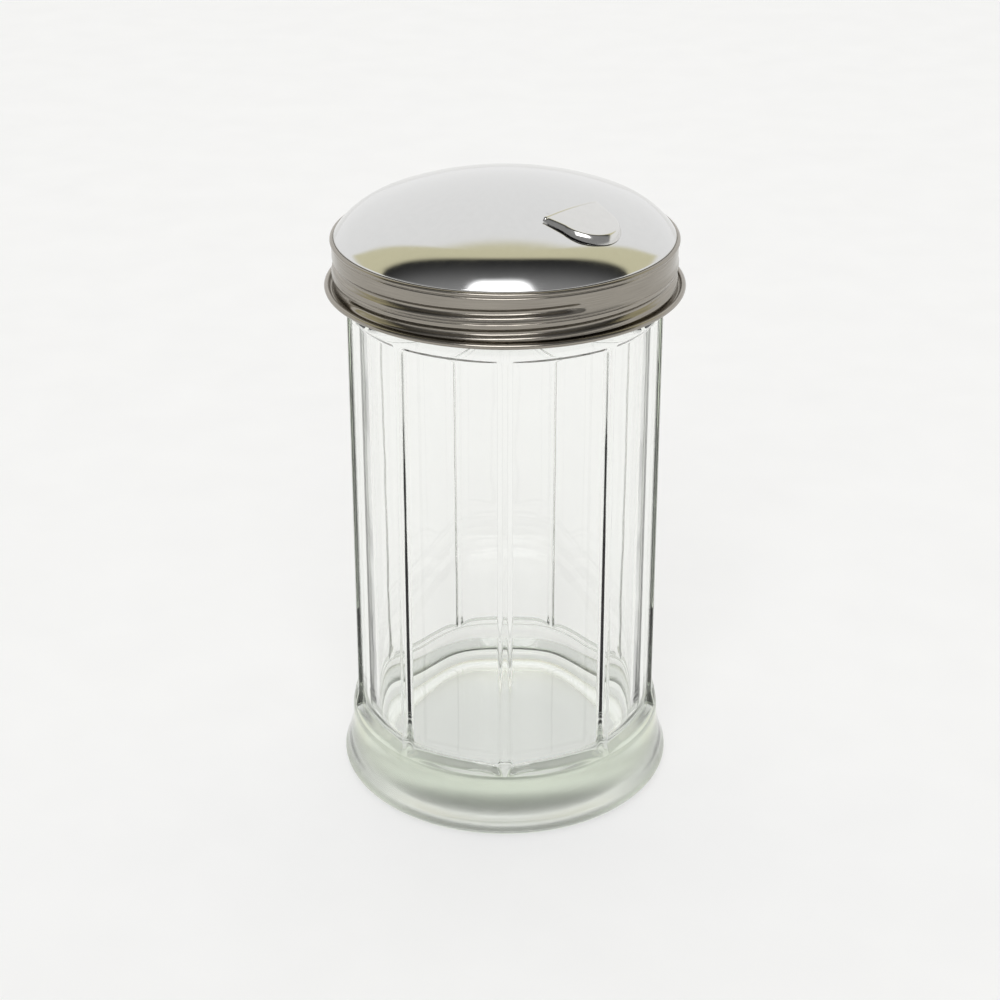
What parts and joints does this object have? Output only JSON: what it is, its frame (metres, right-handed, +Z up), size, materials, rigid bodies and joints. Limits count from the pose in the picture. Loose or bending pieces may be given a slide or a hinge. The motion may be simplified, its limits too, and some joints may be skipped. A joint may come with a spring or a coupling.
{
  "type": "sugar pourer",
  "caption": "Ribbed glass sugar pourer with a domed screw lid and a gravity flap over its off-centre pour opening.",
  "frame": {"origin": "centre of the ring that the glass foot stands on", "axes": "+Z up along the axis of the jar and its lid; the viewer looks along +Y, with +X to the right, and the flap points to the front right, about 45 degrees from each"},
  "size_m": [0.0772, 0.0772, 0.1411],
  "materials": {
    "clear_glass": "clear pressed glass with a faint green tint",
    "liner_rubber": "matt off-white",
    "lid_steel": "polished and lightly worn",
    "pin_steel": "plain drawn wire",
    "flap_steel": "satin"
  },
  "bodies": {
    "jar": {"glass_jar": "clear_glass"},
    "liner": {"rim_liner": "liner_rubber"},
    "lid": {"lid_shell": "lid_steel", "flap_hinge_pin": "pin_steel"},
    "flap": {"pour_flap": "flap_steel"}
  },
  "joints": [
    {"name": "lid_rise", "type": "slide", "parent": "jar", "child": "liner", "axis": [0, 0, 1], "range_m": [0, 0.0149]},
    {"name": "lid_turn", "type": "hinge", "parent": "liner", "child": "lid", "pos_m": [0, 0, 0.12], "axis": [0, 0, 1], "range_deg": [0, 1260]},
    {"name": "flap_pivot", "type": "hinge", "parent": "lid", "child": "flap", "pos_m": [0.01253, -0.01298, 0.13709], "axis": [-0.7193, -0.6947, 0], "range_deg": [0, 50]}
  ],
  "couplings": [
    {"joint": "lid_rise", "follows": "lid_turn", "m_per_rad": 0.00067376}
  ]
}
